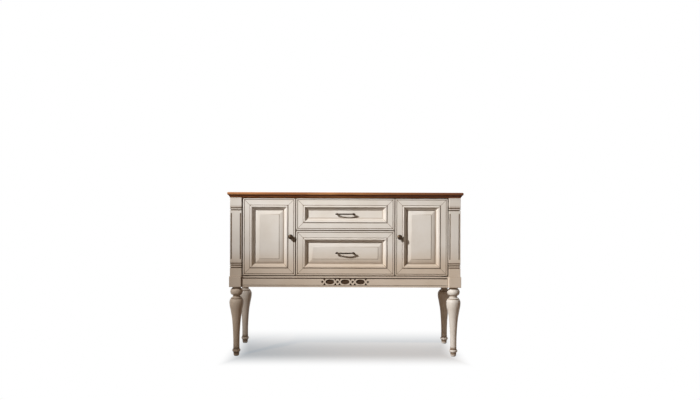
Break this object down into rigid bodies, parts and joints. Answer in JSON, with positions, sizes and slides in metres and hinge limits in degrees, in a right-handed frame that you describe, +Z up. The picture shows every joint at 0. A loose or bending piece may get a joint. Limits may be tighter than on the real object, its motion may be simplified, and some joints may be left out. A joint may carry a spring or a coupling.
{
  "type": "chiffonier",
  "caption": "Painted sideboard cupboard on turned legs, with a wooden top, fluted corner pilasters, panelled doors beside moulded drawers and a pierced fret in the apron.",
  "frame": {"origin": "on the floor, under the middle of the top board", "axes": "+Z up, -Y towards the front with the doors and drawers, +X to the viewer's right"},
  "size_m": [1.4, 0.44, 0.98],
  "materials": {
    "cream_paint": "ivory paint on wood with a brown glaze left in the grooves",
    "walnut_varnish": "stained and satin-varnished reddish brown hardwood",
    "fret_brown": "dark brown stain",
    "plain_wood": "clear sealed pale wood",
    "bronze": "dark rubbed bronze",
    "steel": "zinc plated",
    "glide_plastic": "matte",
    "catch_plastic": "matte"
  },
  "bodies": {
    "case": {"top_board": "walnut_varnish", "front_trim": "walnut_varnish", "side_trims": "walnut_varnish", "back_trim": "walnut_varnish", "pivot_plates": "steel", "leg_bolts": "steel", "front_left_post": "cream_paint", "front_right_post": "cream_paint", "back_left_post": "cream_paint", "back_right_post": "cream_paint", "shelves": "cream_paint", "shelf_pins": "steel", "left_side_panel": "cream_paint", "right_side_panel": "cream_paint", "partitions": "cream_paint", "bottom_panel": "cream_paint", "back_panel": "plain_wood", "front_apron": "cream_paint", "fret_backing": "fret_brown", "left_apron": "cream_paint", "right_apron": "cream_paint", "back_apron": "cream_paint", "front_left_leg": "cream_paint", "front_right_leg": "cream_paint", "back_left_leg": "cream_paint", "back_right_leg": "cream_paint", "foot_glides": "glide_plastic", "door_catches": "catch_plastic", "drawer_rails": "steel"},
    "left_door": {"left_door_stiles": "cream_paint", "left_door_rails": "cream_paint", "left_door_pivots": "steel", "left_door_panel": "cream_paint", "left_door_knob": "bronze", "left_door_strike": "steel"},
    "right_door": {"right_door_stiles": "cream_paint", "right_door_rails": "cream_paint", "right_door_pivots": "steel", "right_door_panel": "cream_paint", "right_door_knob": "bronze", "right_door_strike": "steel"},
    "upper_drawer": {"upper_drawer_stiles": "cream_paint", "upper_drawer_rails": "cream_paint", "upper_drawer_panel": "cream_paint", "upper_drawer_pull": "bronze", "upper_drawer_box_front": "plain_wood", "upper_drawer_sides": "plain_wood", "upper_drawer_back": "plain_wood", "upper_drawer_bottom": "plain_wood", "upper_drawer_slide_bars": "steel"},
    "lower_drawer": {"lower_drawer_stiles": "cream_paint", "lower_drawer_rails": "cream_paint", "lower_drawer_panel": "cream_paint", "lower_drawer_pull": "bronze", "lower_drawer_box_front": "plain_wood", "lower_drawer_sides": "plain_wood", "lower_drawer_back": "plain_wood", "lower_drawer_bottom": "plain_wood", "lower_drawer_slide_bars": "steel"}
  },
  "joints": [
    {"name": "left_door_hinge", "type": "hinge", "parent": "case", "child": "left_door", "pos_m": [-0.593, -0.185, 0.71525], "axis": [0, 0, -1], "range_deg": [0, 105]},
    {"name": "right_door_hinge", "type": "hinge", "parent": "case", "child": "right_door", "pos_m": [0.593, -0.185, 0.71525], "axis": [0, 0, 1], "range_deg": [0, 105]},
    {"name": "upper_drawer_slide", "type": "slide", "parent": "case", "child": "upper_drawer", "axis": [0, -1, 0], "range_m": [0, 0.25]},
    {"name": "lower_drawer_slide", "type": "slide", "parent": "case", "child": "lower_drawer", "axis": [0, -1, 0], "range_m": [0, 0.25]}
  ]
}
